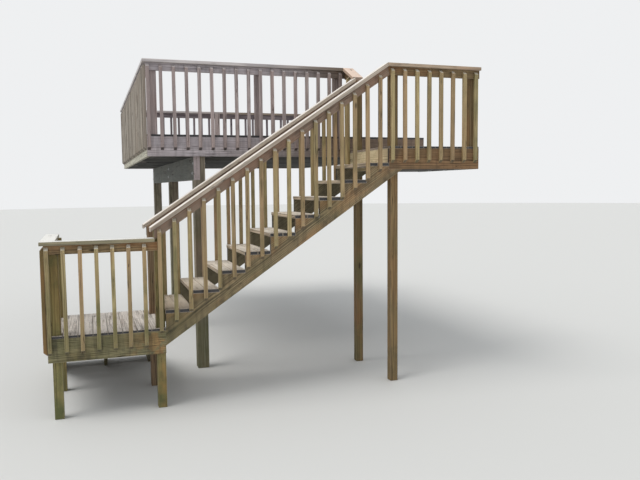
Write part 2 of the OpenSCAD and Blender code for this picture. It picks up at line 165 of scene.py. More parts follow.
scene.world = sky(SKY_LIGHT, BACKDROP)
sun = linked("soft_sun", bpy.data.lights.new("soft_sun", "SUN"))
sun.data.energy = SUN_LIGHT
sun.data.angle = math.radians(SUN_SPREAD)
sun.data.color = SUN_COLOUR
sun.rotation_euler = SUN_WAY.to_track_quat("-Z", "Y").to_euler()
print("sky", SKY_LIGHT, "sun", SUN_LIGHT)

# %% Lay the floor
FLOOR_RADIUS, UNDER_FEET = 70, 0.002
FLOOR_COLOUR = (0.66, 0.66, 0.65, 1)


def plain_floor(radius, below):
    """A flat pale disc a hair below the posts' feet."""
    bm = bmesh.new()
    bmesh.ops.create_circle(bm, cap_ends=True, radius=radius, segments=96)
    bmesh.ops.translate(bm, verts=bm.verts, vec=(0, 0, -below))
    floor = object_of("floor", bm)
    material, tree, shader = new_material("pale_floor")
    fill(tree, shader, {"Base Color": FLOOR_COLOUR, "Roughness": 0.9})
    floor.data.materials.append(material)
    return floor


plain_floor(FLOOR_RADIUS, UNDER_FEET)
print("floor:", FLOOR_RADIUS, "m in radius")

# %% [markdown]
# ## Timber as a solid material
# Sawn wood is a slice through growth rings, so its pattern is not painted on each face: it runs
# through the board, as stripes on the sides and arcs on the ends. The material works the same way.
# Every board carries its own coordinates in an attribute called `grain`: metres along the board,
# and metres across it both ways. Another attribute, `shift`, moves each board to its own place in
# the tree, and `tone` makes it a little lighter or darker than its neighbour.
#
# Noise that is squeezed across the grain and stretched along it gives fibres, a ring wave gives the
# growth rings, and thin dark lines give the drying checks.

# %% Write helpers for material nodes


def attribute(tree, name, output):
    """What the boards carry under a name."""
    return add_node(tree, "ShaderNodeAttribute", attribute_name=name).outputs[output]


def maths(tree, operation, a, b=None, clamp=False):
    """One step of arithmetic; a and b are sockets or numbers."""
    given = {slot: value for slot, value in enumerate((a, b)) if value is not None}
    return add_node(tree, "ShaderNodeMath", given, operation=operation, use_clamp=clamp).outputs[0]


def times(tree, a, b, clamp=False):
    return maths(tree, "MULTIPLY", a, b, clamp)


def plus(tree, a, b, clamp=False):
    return maths(tree, "ADD", a, b, clamp)


def minus(tree, a, b, clamp=False):
    return maths(tree, "SUBTRACT", a, b, clamp)


def ramp(tree, value, low, high):
    """0 below low, 1 above high, smooth between."""
    limits = {"Value": value, "From Min": low, "From Max": high}
    return add_node(tree, "ShaderNodeMapRange", limits, interpolation_type="SMOOTHSTEP").outputs["Result"]


def mix_colour(tree, amount, first, second, blend="MIX"):
    """The first colour, and by the amount the second one over it."""
    colours = {0: amount, 6: first, 7: second}
    return add_node(tree, "ShaderNodeMix", colours, data_type="RGBA", blend_type=blend).outputs[2]


def parts(tree, value, kind="XYZ"):
    """The three numbers in a place, a direction or a colour."""
    return add_node(tree, "ShaderNodeSeparate" + kind, {0: value}).outputs


def stretched(tree, where, scale):
    """A coordinate times a scale for each axis."""
    return add_node(tree, "ShaderNodeMapping", {"Vector": where, "Scale": scale}).outputs[0]


def noise(tree, where, scale, detail=3.0, rough=0.55):
    """Noise over a coordinate; scale is one number, or one for each axis so that it grows long one way."""
    if isinstance(scale, tuple):
        where, scale = stretched(tree, where, scale), 1.0
    sockets = {"Vector": where, "Scale": scale, "Detail": detail, "Roughness": rough}
    return add_node(tree, "ShaderNodeTexNoise", sockets).outputs["Fac"]


def bumped(tree, height, strength, distance):
    """Normals that follow a height."""
    return add_node(tree, "ShaderNodeBump", {"Height": height, "Strength": strength, "Distance": distance}).outputs[0]


def srgb(r, g, b):
    """A colour written as it looks on screen, 0 to 255, as Blender's linear colour."""
    def linear(c):
        c = c / 255
        return c / 12.92 if c <= 0.04045 else ((c + 0.055) / 1.055) ** 2.4
    return (linear(r), linear(g), linear(b), 1.0)


print("white reads", srgb(255, 255, 255))

# %% [markdown]
# A board's own facts come first. Besides its grain, every board draws lots: white noise at its
# `shift` gives three numbers that stay the same all over the board, and the finish uses them to make
# some boards warmer and some greener. Two more attributes mark faces: `end` is 1 on sawn ends, and
# `worn` is 1 on the eased edges.

# %% Read what each board carries


def board_facts(tree):
    """Sockets for the board's own coordinates, its lots, its marked faces, its place and its facing."""
    grain, shift = attribute(tree, "grain", "Vector"), attribute(tree, "shift", "Vector")
    where = add_node(tree, "ShaderNodeVectorMath", {0: grain, 1: shift}, operation="ADD").outputs[0]
    lots = add_node(tree, "ShaderNodeTexWhiteNoise", {"Vector": shift}, noise_dimensions="3D").outputs["Color"]
    normal = add_node(tree, "ShaderNodeNewGeometry").outputs["Normal"]
    place = add_node(tree, "ShaderNodeTexCoord").outputs["Object"]
    along_x, _, height = parts(tree, place)
    facts = {"where": where, "lot": list(parts(tree, lots, "Color")), "up": parts(tree, normal)[2],
             "place": place, "along_x": along_x, "height": height}
    return facts | {name: attribute(tree, name, "Fac") for name in ("tone", "end", "worn")}


# %% [markdown]
# The figure of the wood is two things at once: pale early wood and dark late wood in yearly rings,
# and fine fibres that run along the board. Where a board dried too fast it split into short checks,
# and where a branch grew there is a knot.

# %% Draw the figure of the wood
# How often a pattern changes in a metre: along the board, and across it both ways
FIBRES, HAIRS, YEARS = (2.2, 150, 150), (9, 620, 620), (0.09, 1, 1)
CRACKS, CRACKED_PARTS, KNOT_CELLS = (0.9, 42, 42), (1.6, 9, 9), (2.6, 7.5, 7.5)
ORANGE_PATCHES, BLOTCHES, BLEACH_AND_SHEEN_STREAKS = (1.3, 5, 5), (1.8, 13, 13), (2.2, 26, 26)
# The same for rain, which runs down whatever way the board lies
DRIPS = (19, 19, 2.0)
# The share of a board's long cells that have no knot
BARE_CELLS = 0.72


def growth_rings(tree, where):
    """Light and dark yearly rings around a pith that each board's shift puts elsewhere."""
    rings = {"Vector": stretched(tree, where, YEARS), "Scale": 24.0, "Distortion": 13.0, "Detail": 3.0,
             "Detail Scale": 0.3, "Detail Roughness": 0.6}
    return add_node(tree, "ShaderNodeTexWave", rings, wave_type="RINGS", rings_direction="X").outputs["Fac"]


def drying_checks(tree, where, width):
    """Thin cracks along the grain where a stretched noise crosses its middle value."""
    line = noise(tree, where, CRACKS, 2.0, 0.5)
    near = maths(tree, "ABSOLUTE", minus(tree, line, 0.5))
    crack = minus(tree, 1.0, ramp(tree, near, width * 0.4, width))
    place = ramp(tree, noise(tree, where, CRACKED_PARTS, 1.0, 0.5), 0.50, 0.62)
    return times(tree, crack, place)


def knots(tree, where):
    """A few dark knots, one to a long cell of the board, and most cells have none."""
    long_cells = {"Vector": stretched(tree, where, KNOT_CELLS), "Scale": 1.0}
    cells = add_node(tree, "ShaderNodeTexVoronoi", long_cells).outputs
    kept = maths(tree, "GREATER_THAN", parts(tree, cells["Color"], "Color")[0], BARE_CELLS)
    spot = minus(tree, 1.0, ramp(tree, cells["Distance"], 0.06, 0.15))
    return times(tree, spot, kept)


# %% [markdown]
# Boards from two trees hang side by side, so some lean toward a second colour. Then weather works on
# the outside. Algae needs damp, so it sits low down and on boards that happen to stay wet. Sun and
# rain bleach whatever faces the sky, and the same layer lays a painted sheen on those tops. Painted
# shade darkens some boards toward one end along X, and darkens every face that looks down. Rain that
# drips through the gaps between floor boards leaves dark runs on the boards below. Sawn ends are
# given a slate grey, and eased edges are rubbed pale, which also paints a highlight along them. Each
# of these is one layer that takes the colour so far and gives back the new one, so a finish can be
# read as a list of what happened to the wood and of the light and shade painted on it.

# %% Write the layers of weather
ALGAE, STAIN_AND_SHADE_DARK, KNOT = srgb(98, 103, 66), srgb(46, 46, 46), srgb(48, 38, 28)
RUBBED_AND_HIGHLIGHT, RUST = srgb(214, 204, 190), srgb(104, 66, 44)
# How much of its colour the wood keeps under the painted shade
PAINTED_SHADE_TINT = (0.43, 0.36, 0.27, 1.0)


def kindred(tree, colour, facts, kin):
    """About half of the boards lean toward a second colour, as if they came from another tree."""
    lean = times(tree, ramp(tree, facts["lot"][2], 0.35, 0.75), 0.7)
    return mix_colour(tree, lean, colour, srgb(*kin))


def warmed(tree, colour, facts, amount, orange, toward):
    """The pine's own orange still shows in long patches, more on some boards, and most of all toward one end."""
    patch = ramp(tree, noise(tree, facts["where"], ORANGE_PATCHES, 3.0, 0.55), 0.44, 0.66)
    share = times(tree, patch, plus(tree, times(tree, facts["lot"][0], 0.9), 0.3))
    share = times(tree, share, amount)
    if toward:
        spot = ramp(tree, noise(tree, facts["place"], 9.0, 3.0, 0.6), 0.42, 0.56)
        near_end = times(tree, ramp(tree, facts["along_x"], *toward), spot)
        share = maths(tree, "MAXIMUM", share, times(tree, near_end, 0.8))
    return mix_colour(tree, maths(tree, "MINIMUM", share, 1.0), colour, srgb(*orange))


def toned(tree, colour, facts, spread, mottle):
    """The board's own lightness, times blotches as long as a forearm."""
    blotch = noise(tree, facts["where"], BLOTCHES, 5.0, 0.62)
    own = times(tree, minus(tree, facts["tone"], 0.5), 2 * spread)
    patchy = times(tree, minus(tree, blotch, 0.5), 3 * mottle)
    lit = {"Color": colour, "Value": plus(tree, plus(tree, own, patchy), 1.0)}
    return add_node(tree, "ShaderNodeHueSaturation", lit).outputs[0]


def painted_shade_along_x(tree, colour, facts, span):
    """Painted shade: between two places along X the colour is darkened more and more toward a dark brown."""
    return mix_colour(tree, ramp(tree, facts["along_x"], *span), colour, PAINTED_SHADE_TINT, "MULTIPLY")


def with_algae(tree, colour, facts, amount, below):
    """Soft green patches, and a green foot under a height in metres."""
    patch = ramp(tree, noise(tree, facts["place"], 2.8, 5.0, 0.62), 0.42, 0.66)
    algae = times(tree, times(tree, patch, facts["lot"][1]), 1.5 * amount)
    if below:
        low = minus(tree, 1.0, ramp(tree, facts["height"], below * 0.2, below))
        algae = plus(tree, algae, times(tree, low, 0.5), clamp=True)
    return mix_colour(tree, algae, colour, ALGAE)


def sun_bleach_and_sheen(tree, colour, facts, amount, grey, fibre, evenly):
    """Faces that look at the sky turn grey or white in streaks or evenly, with the fibres standing out of them: sun
    bleach, and a painted sheen on the same tops.
    """
    above = times(tree, ramp(tree, facts["up"], 0.35, 0.7), amount)
    streaks = noise(tree, facts["where"], BLEACH_AND_SHEEN_STREAKS, 4.0, 0.65)
    ease = 0.3 * evenly
    streaks = ramp(tree, streaks, 0.26 - ease, 0.54 - ease)
    bleach_and_sheen = times(tree, above, times(tree, ramp(tree, fibre, 0.22 - ease, 0.55 - ease), streaks))
    return mix_colour(tree, bleach_and_sheen, colour, srgb(*grey))


def blackened(tree, colour, amount, depth=0.6):
    """Darkens toward near black where amount says, as deep as depth: for stains and for painted shade."""
    return mix_colour(tree, amount, colour, mix_colour(tree, depth, colour, STAIN_AND_SHADE_DARK))


def stained_and_shaded(tree, colour, facts, grime, runs, painted_shade_under):
    """Stains of their own size, dark runs below the floors' gaps, and painted shade on faces that look down."""
    stain = ramp(tree, noise(tree, facts["place"], 5.5, 6.0, 0.68), 0.50, 0.74)
    colour = blackened(tree, colour, times(tree, stain, grime))
    if runs:
        run = ramp(tree, noise(tree, facts["place"], DRIPS, 4.0, 0.6), 0.47, 0.66)
        colour = blackened(tree, colour, times(tree, run, runs))
    # Painted shade: faces that look down are darkened
    under = times(tree, ramp(tree, times(tree, facts["up"], -1.0), 0.4, 0.8), painted_shade_under)
    return blackened(tree, colour, under, 0.7)


def sawn_ends(tree, colour, facts, amount, grey):
    """Sawn ends take a grey of their own, less where they face up."""
    grey_share = minus(tree, amount, ramp(tree, facts["up"], 0.45, 0.85))
    sawn = times(tree, facts["end"], grey_share, clamp=True)
    return mix_colour(tree, sawn, colour, srgb(*grey))


# %% [markdown]
# The timber puts the layers in the order in which they came over the wood, and takes its bump and
# roughness from the same fibres, so that colour and relief agree.

# %% Build the timber material


def timber(name, pale, dark, kin=None, warm=0.25, orange=(160, 112, 72), toward=None, shade_span=None, green=0.0,
           green_below=None, sun=0.0, grey=(176, 168, 160), evenly=0.0, rubbed_and_highlight=0.3, mottle=0.25, grime=0.5, runs=0.0,
           ends=0.72, end_grey=(60, 60, 64), spread=0.12, painted_shade_under=0.3, check=0.012, smooth=0.0, bump=0.5):
    """Weathered pine from its pale and dark wood, how much of each kind of weather came over it, and how much painted
    shade and sheen it carries.
    """
    material, tree, shader = new_material(name)
    facts = board_facts(tree)
    where = facts["where"]

    fibre = noise(tree, where, FIBRES, 4.0, 0.6)
    hair = noise(tree, where, HAIRS, 2.0, 0.6)
    streak = plus(tree, times(tree, fibre, 0.7), times(tree, growth_rings(tree, where), 0.3))
    colour = mix_colour(tree, ramp(tree, streak, 0.28, 0.72), srgb(*dark), srgb(*pale))
    if kin:
        colour = kindred(tree, colour, facts, kin)
    colour = warmed(tree, colour, facts, warm, orange, toward)
    colour = toned(tree, colour, facts, spread, mottle)
    colour = with_algae(tree, colour, facts, green, green_below)
    # Sun bleach on the tops, with a painted sheen on the same tops
    if sun:
        colour = sun_bleach_and_sheen(tree, colour, facts, sun, grey, fibre, evenly)
    # Painted shade: boards are darkened toward one end along X
    if shade_span:
        colour = painted_shade_along_x(tree, colour, facts, shade_span)
    colour = sawn_ends(tree, stained_and_shaded(tree, colour, facts, grime, runs, painted_shade_under), facts, ends, end_grey)
    # Eased edges are rubbed pale, and the paler colour is also a painted highlight along them
    edge = times(tree, facts["worn"], times(tree, ramp(tree, fibre, 0.25, 0.6), rubbed_and_highlight))
    colour = mix_colour(tree, edge, colour, mix_colour(tree, 0.5, srgb(*pale), RUBBED_AND_HIGHLIGHT))

    cracks = drying_checks(tree, where, check)
    marks = maths(tree, "MAXIMUM", cracks, times(tree, knots(tree, where), 0.75))
    colour = mix_colour(tree, marks, colour, KNOT)
    colour = blackened(tree, colour, times(tree, hair, 0.35), 0.5)

    rough = {"Value": fibre, "To Min": 0.72 - smooth, "To Max": 0.95 - smooth}
    relief = plus(tree, times(tree, fibre, 0.6), times(tree, hair, 0.4))
    relief = minus(tree, relief, times(tree, cracks, 1.5))
    fill(tree, shader, {"Base Color": colour, "Roughness": add_node(tree, "ShaderNodeMapRange", rough).outputs[0],
                        "Specular IOR Level": 0.25 + smooth, "Normal": bumped(tree, relief, bump, 0.0025)})
    return material


# %% [markdown]
# ## One finish for each kind of board
# All of it is the same pine, but it weathered differently. Boards that face the sky went grey or
# nearly white under a painted sheen, uprights stayed olive and brown, the deck is mauve with painted
# glare over its left part, and the lowest timber is green. Painted shade darkens some boards toward
# one end, and the far stringer and the deck's far side are painted darker as shade.

# %% Mix the finishes
# What the boards that feet wear have in common, and what the caps have in common
TRODDEN = dict(warm=0.15, green=0.1, mottle=0.5, grime=0.6, ends=0.95, end_grey=(48, 50, 56), painted_shade_under=0.6,
               check=0.007, smooth=0.25)
SUNNED = dict(warm=0.2, sun=1.0, grime=0.3, ends=0.3, spread=0.06, check=0.008)
WOODS = {
    # Posts and boards on edge
    "post": dict(pale=(170, 156, 104), dark=(130, 117, 79), warm=0.5, orange=(186, 132, 70), green=0.5,
                 green_below=0.45, runs=0.25),
    "far_newel": dict(pale=(150, 128, 102), dark=(106, 88, 68), warm=0.5, orange=(168, 118, 88), green=0.15),
    "tall_post": dict(pale=(144, 122, 86), dark=(102, 84, 60), warm=0.3, green=0.3),
    "rim": dict(pale=(156, 148, 112), dark=(98, 94, 70), warm=0.3, toward=(-1.8, -1.1), orange=(176, 132, 84),
                green=0.5, grime=0.8, mottle=0.4, runs=0.6),
    "upper_rim": dict(pale=(152, 124, 92), dark=(104, 82, 62), warm=0.35, green=0.2, grime=0.6, runs=0.35),
    "pale_rim": dict(pale=(232, 218, 182), dark=(194, 178, 146), warm=0.15, green=0.2, grime=0.3, mottle=0.12),
    "rail": dict(pale=(166, 144, 126), dark=(120, 103, 92), warm=0.4, orange=(164, 112, 80), grime=0.6,
                 runs=0.3),
    "low_rail": dict(pale=(166, 142, 106), dark=(116, 98, 72), warm=0.6, orange=(172, 118, 76), grime=0.5,
                     runs=0.3),
    # The flight and the floors
    "stringer": dict(pale=(166, 146, 112), dark=(98, 88, 70), warm=0.6, orange=(176, 132, 90), green=0.3,
                     green_below=1.4, grime=0.85, mottle=0.45, runs=0.5),
    # Painted shade: the far stringer is darker because it stands in the shadow of the treads
    "shaded_stringer": dict(pale=(134, 125, 101), dark=(92, 85, 68), warm=0.1, green=0.2, grime=0.8, mottle=0.4,
                            runs=0.4),
    "floor": dict(TRODDEN, pale=(162, 147, 133), dark=(96, 86, 79), warm=0.12, orange=(180, 140, 110), sun=0.95,
                  grey=(240, 231, 222), evenly=-0.03, rubbed_and_highlight=0.6, spread=0.18),
    # Painted shade: the lower treads are darkened toward the foot of the flight
    "tread": dict(TRODDEN, pale=(218, 200, 176), dark=(146, 132, 114), orange=(190, 150, 116), sun=0.92,
                  shade_span=(-0.5, -1.45), grey=(250, 240, 226), evenly=0.15, rubbed_and_highlight=0.8),
    # Balusters and caps
    "baluster": dict(pale=(194, 178, 132), dark=(148, 132, 94), kin=(182, 146, 116), warm=0.35,
                     orange=(180, 142, 106), green=0.4, green_below=1.7, sun=0.8, grey=(222, 218, 208),
                     grime=0.35, ends=0.5, end_grey=(70, 70, 66), spread=0.15),
    "edge_baluster": dict(pale=(146, 122, 82), dark=(100, 80, 54), warm=0.5, green=0.3, grime=0.4),
    "cap": dict(SUNNED, pale=(214, 198, 180), dark=(166, 152, 138), green=0.1, grey=(248, 240, 232),
                evenly=0.8, rubbed_and_highlight=0.8, smooth=0.35),
    "upper_cap": dict(SUNNED, pale=(206, 182, 156), dark=(156, 136, 114), warm=0.3, green=0.2,
                      grey=(238, 224, 212), evenly=0.7, grime=0.4, smooth=0.3),
    "low_cap": dict(SUNNED, pale=(158, 148, 117), dark=(114, 106, 82), green=0.3, grey=(243, 241, 235),
                    evenly=0.9, smooth=0.4),
    "step_cap": dict(SUNNED, pale=(214, 186, 164), dark=(178, 152, 134), sun=0.9, grey=(240, 214, 196),
                     evenly=0.6, spread=0.12, smooth=0.2),
    # The deck caps' pale colour carries painted glare, and painted shade darkens them toward the right
    "deck_cap": dict(SUNNED, pale=(214, 207, 206), dark=(170, 163, 164), warm=0.05, shade_span=(0.1, 1.2),
                     grey=(234, 232, 234), evenly=0.6, grime=0.2, rubbed_and_highlight=0.4, smooth=0.35),
    # Under the floors, and the deck
    "framing": dict(pale=(120, 121, 120), dark=(82, 85, 88), warm=0.05, green=0.1, grime=0.6),
    "ledger": dict(pale=(138, 130, 118), dark=(94, 88, 80), warm=0.15, green=0.15, grime=0.6, runs=0.3),
    "beam": dict(pale=(130, 132, 126), dark=(94, 96, 92), warm=0.05, green=0.1, grime=0.4, ends=0.9,
                 end_grey=(196, 182, 184)),
    # The deck's pale mauve carries painted glare over its left part, and painted shade darkens the rim toward the
    # right
    "deck_rim": dict(pale=(212, 204, 209), dark=(166, 158, 163), warm=0.1, shade_span=(0.2, 1.3), green=0.05,
                     grime=0.4, spread=0.06, runs=0.35),
    "deck_left_rim": dict(pale=(206, 203, 186), dark=(162, 159, 146), warm=0.1, green=0.1, grime=0.35),
    # Painted shade: the deck's near balusters are darkened toward the right
    "deck_upright": dict(pale=(198, 184, 182), dark=(148, 136, 136), kin=(164, 148, 146), warm=0.12,
                         shade_span=(0.3, 2.2), sun=0.7, grey=(232, 228, 228), grime=0.35),
    "deck_side": dict(pale=(194, 186, 175), dark=(146, 137, 127), kin=(162, 153, 143), warm=0.1, green=0.05,
                      grime=0.35, spread=0.3),
    # Painted shade: the deck's far board and far balusters are darker because their inner side is in shade
    "deck_back_shaded": dict(pale=(146, 137, 142), dark=(106, 98, 104), warm=0.05, grime=0.5),
    "deck_post": dict(pale=(154, 145, 130), dark=(102, 95, 84), warm=0.15, green=0.3, green_below=1.6,
                      grime=0.7, painted_shade_under=0.5),
}
FINISH = {name: timber(name + "_timber", **wood) for name, wood in WOODS.items()}
print("finishes:", ", ".join(FINISH))

# %% [markdown]
# ## Boards with eased edges
# A sawmill rounds the edges of every board a few millimetres, and that thin rounded line is what
# catches the light. The model's solids have sharp edges, so each one is copied, its loose triangles
# are joined into whole faces, and every edge gets a narrow bevel. Each closed solid is one board:
# it gets the coordinates of its own grain, its tone and its place in the tree.

# %% Find the boards in a node
LEFT, RIGHT, NEAR, FAR, UP = map(Vector, ((-1, 0, 0), (1, 0, 0), (0, -1, 0), (0, 1, 0), (0, 0, 1)))
# Points closer than WELD metres are one point, and faces within FLAT radians are one face
WELD, FLAT = 1e-5, 0.01


def joined_solids(node):
    """The node's solids as a mesh of whole flat faces."""
    bm = bmesh.new()
    bm.from_mesh(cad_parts[node].data)
    bmesh.ops.remove_doubles(bm, verts=bm.verts, dist=WELD)
    bmesh.ops.dissolve_limit(bm, angle_limit=FLAT, verts=bm.verts, edges=bm.edges)
    return bm


def islands(bm):
    """Lists of vertices, one list for each closed solid."""
    # A dict keeps its order and a set doesn't, so each run adds up the same points in the same order
    left, found = dict.fromkeys(bm.verts), []
    while left:
        group, todo = [], [left.popitem()[0]]
        while todo:
            vert = todo.pop()
            group.append(vert)
            for edge in vert.link_edges:
                other = edge.other_vert(vert)
                if other in left:
                    del left[other]
                    todo.append(other)
        found.append(group)
    return found


def extent(points):
    """Lowest and highest corner of some points."""
    low = Vector([min(p[i] for p in points) for i in range(3)])
    high = Vector([max(p[i] for p in points) for i in range(3)])
    return low, high


def boards_in(node):
    """The box of each board in a node, sorted by place."""
    bm = joined_solids(node)
    found = [extent([v.co for v in group]) for group in islands(bm)]
    bm.free()
    return sorted(found, key=lambda box: tuple(round(c, 4) for c in box[0]))


print("tread boards:", len(boards_in("stair_treads")))

# %% Write the grain into a mesh
# How far the edges are eased, and how far apart boards can lie in the tree, in metres
STICK_EDGE, BOARD_EDGE, WORN_EDGE, CAP_EDGE = 0.0025, 0.003, 0.004, 0.005
TREE_LONG, TREE_WIDE = 40.0, 0.09
# A face whose normal has more than this much of the grain's way in it is a sawn end
SAWN = 0.6


def board_layers(bm):
    """Room for what each board carries on its points and its faces."""
    for name in ("grain", "shift"):
        bm.verts.layers.float_vector.new(name)
    bm.verts.layers.float.new("tone")
    for name in ("end", "worn"):
        bm.faces.layers.float.new(name)


def ease_edges(bm, width):
    """Bevels every edge and marks the narrow new faces as worn."""
    eased = bmesh.ops.bevel(bm, geom=bm.edges[:], offset=width, segments=2, profile=0.6, affect="EDGES",
                            clamp_overlap=True)
    worn = bm.faces.layers.float["worn"]
    for face in eased["faces"]:
        face[worn] = 1.0
    bm.normal_update()


def along_axis(points):
    """The way a straight board runs: along its longest side."""
    low, high = extent(points)
    size = high - low
    return Vector([1.0 if size[i] == max(size) else 0.0 for i in range(3)])


def write_grain(bm, group, along, rng):
    """Gives a board its own coordinates, its tone and its place in the tree, and marks its sawn ends."""
    side = along.cross(UP)
    side = side.normalized() if side.length > 0.1 else FAR
    third = along.cross(side)
    middle = sum((v.co for v in group), Vector()) / len(group)
    grain, shift = bm.verts.layers.float_vector["grain"], bm.verts.layers.float_vector["shift"]
    tone, end = bm.verts.layers.float["tone"], bm.faces.layers.float["end"]
    place = Vector((rng.uniform(0, TREE_LONG), *(rng.uniform(-TREE_WIDE, TREE_WIDE) for _ in range(2))))
    drawn = rng.random()
    for vert in group:
        local = vert.co - middle
        vert[grain] = Vector((local.dot(along), local.dot(side), local.dot(third)))
        vert[shift] = place
        vert[tone] = drawn
        for face in vert.link_faces:
            face[end] = float(abs(face.normal.dot(along)) > SAWN)


def by_place(group):
    """Sorts boards by their lowest corner."""
    return tuple(round(c, 3) for c in extent([v.co for v in group])[0])


def to_piece(bm, name, finish):
    """A finished mesh object that rides on the stairs and takes its finish."""
    piece = object_of(name, bm)
    piece.data.materials.append(FINISH[finish])
    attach(piece, "root")
    return piece


def outermost(node, axis, highest=False):
    """The number of the board whose middle lies farthest out along an axis."""
    middles = [(low[axis] + high[axis]) / 2 for low, high in boards_in(node)]
    return middles.index(max(middles) if highest else min(middles))


def dress(node, finish, seed, edge=BOARD_EDGE, along=None, single=None):
    """Replaces a node by its own boards with eased edges and grain; single gives one board another finish."""
    bm = joined_solids(node)
    board_layers(bm)
    ease_edges(bm, edge)
    rng = random.Random(seed)
    for order, group in enumerate(sorted(islands(bm), key=by_place)):
        way = Vector(along).normalized() if along else along_axis([v.co for v in group])
        write_grain(bm, group, way, rng)
        if single and order == single[0]:
            for face in {face for vert in group for face in vert.link_faces}:
                face.material_index = 1
    piece = to_piece(bm, "dressed_" + node, finish)
    if single:
        piece.data.materials.append(FINISH[single[1]])
    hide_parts(node)
    return piece


# %% [markdown]
# ## Posts, rims, joists and floors
# These are straight sawn boards, so the same step dresses them all. Posts run upright, floor boards
# run away from the camera, and rims follow the edge that they close. A few boards look unlike the
# rest of their set, such as the pale rim at the top of the flight. Each is found by its place, as the
# outermost one along an axis, and gets a finish of its own.

# %% Dress the straight timber
X_WAY, Y_WAY = 0, 1
ODD_BOARDS = {"upper_landing_rims": (outermost("upper_landing_rims", X_WAY), "pale_rim"),
              "deck_rims": (outermost("deck_rims", X_WAY), "deck_left_rim"),
              "deck_rail_boards": (outermost("deck_rail_boards", Y_WAY, highest=True), "deck_back_shaded"),
              "newel_posts": (outermost("newel_posts", Y_WAY, highest=True), "far_newel")}


def dress_all(first_seed, finishes, **how):
    """Dresses several nodes in the same way, each from a seed of its own."""
    for seed, (node, finish) in enumerate(finishes.items(), first_seed):
        dress(node, finish, seed, single=ODD_BOARDS.get(node), **how)


dress_all(10, {"lower_landing_posts": "post", "newel_posts": "post", "upper_landing_posts": "tall_post",
               "deck_posts": "deck_post", "deck_rail_posts": "deck_upright"}, edge=WORN_EDGE, along=UP)
dress_all(30, {"lower_landing_rims": "rim", "upper_landing_rims": "upper_rim", "deck_rims": "deck_rim",
               "deck_beam": "beam", "lower_landing_joists": "framing", "upper_landing_joists": "framing",
               "deck_joists": "framing", "wall_ledgers": "ledger"})
dress_all(50, dict.fromkeys(("lower_landing_boards", "upper_landing_boards", "deck_boards"), "floor"),
          edge=WORN_EDGE, along=FAR)

# %% [markdown]
# ## The flight
# A stringer is one wide board with a tooth cut out for every step. Its grain follows the slope, not
# the teeth, which is why a sawn stringer is weakest at the short grain of each tooth. The slope is
# read from the treads themselves.

# %% Dress the stringers and the treads
treads = boards_in("stair_treads")
RUN = treads[2][0].x - treads[0][0].x
RISE = treads[2][0].z - treads[0][0].z
CLIMB, GROUND_STEPS_FALL = (RUN, 0, RISE), (0, 1, -0.6)
dress_all(60, {"near_stringer": "stringer", "far_stringer": "shaded_stringer"}, along=CLIMB)
dress("stair_treads", "tread", 62, WORN_EDGE, FAR)
ground_treads = boards_in("ground_treads")
dress("ground_stringers", "stringer", 63, along=GROUND_STEPS_FALL)
dress("ground_treads", "tread", 64, WORN_EDGE, RIGHT)
print("rise", round(RISE * 1000), "mm, run", round(RUN * 1000), "mm")

# %% [markdown]
# ## Caps and the boards under them
# The flat boards on top took the most sun. Their tops are bleached and carry a painted sheen, and their edges are
# still brown.

# %% Dress the railings' boards
dress("handrail_caps", "cap", 70, CAP_EDGE, CLIMB)
dress("handrail_boards", "rail", 71, along=CLIMB)
dress_all(80, {"lower_caps": "low_cap", "upper_cap": "upper_cap", "deck_caps": "deck_cap"}, edge=CAP_EDGE)
dress("step_rail_cap", "step_cap", 83, CAP_EDGE, FAR)
dress_all(90, {"lower_rail_boards": "low_rail", "upper_rail_board": "low_rail", "step_rail_board": "upper_rim",
               "deck_rail_boards": "deck_rim"})

# %% [markdown]
# ## Balusters, one row at a time
# A row of balusters is one stick and a rule: the same stick again after every step, level along
# a landing, climbing along the flight. Geometry Nodes say exactly that. The tree puts the first
# stick on the points of a line, turns each a hair so that no two hang alike, gives each its own tone
# and place in the tree, and makes real meshes of them at the end.

# %% Build the tree that repeats a piece along a line


def named_tree(name, inputs, result):
    """A new Geometry Nodes tree with one result, and the sockets that its inputs come from."""
    tree = bpy.data.node_groups.new(name, "GeometryNodeTree")
    for title, kind in inputs.items():
        tree.interface.new_socket(title, in_out="INPUT", socket_type="NodeSocket" + kind)
    tree.interface.new_socket(result, in_out="OUTPUT", socket_type="NodeSocketGeometry")
    return tree, add_node(tree, "NodeGroupInput").outputs


def hand_out(tree, copies, finish, result):
    """Ends a tree: copies become real meshes, take their material and leave as the result."""
    real = add_node(tree, "GeometryNodeRealizeInstances", {0: copies})
    coat = add_node(tree, "GeometryNodeSetMaterial", {"Geometry": real.outputs[0], "Material": finish})
    add_node(tree, "NodeGroupOutput", {result: coat.outputs[0]})


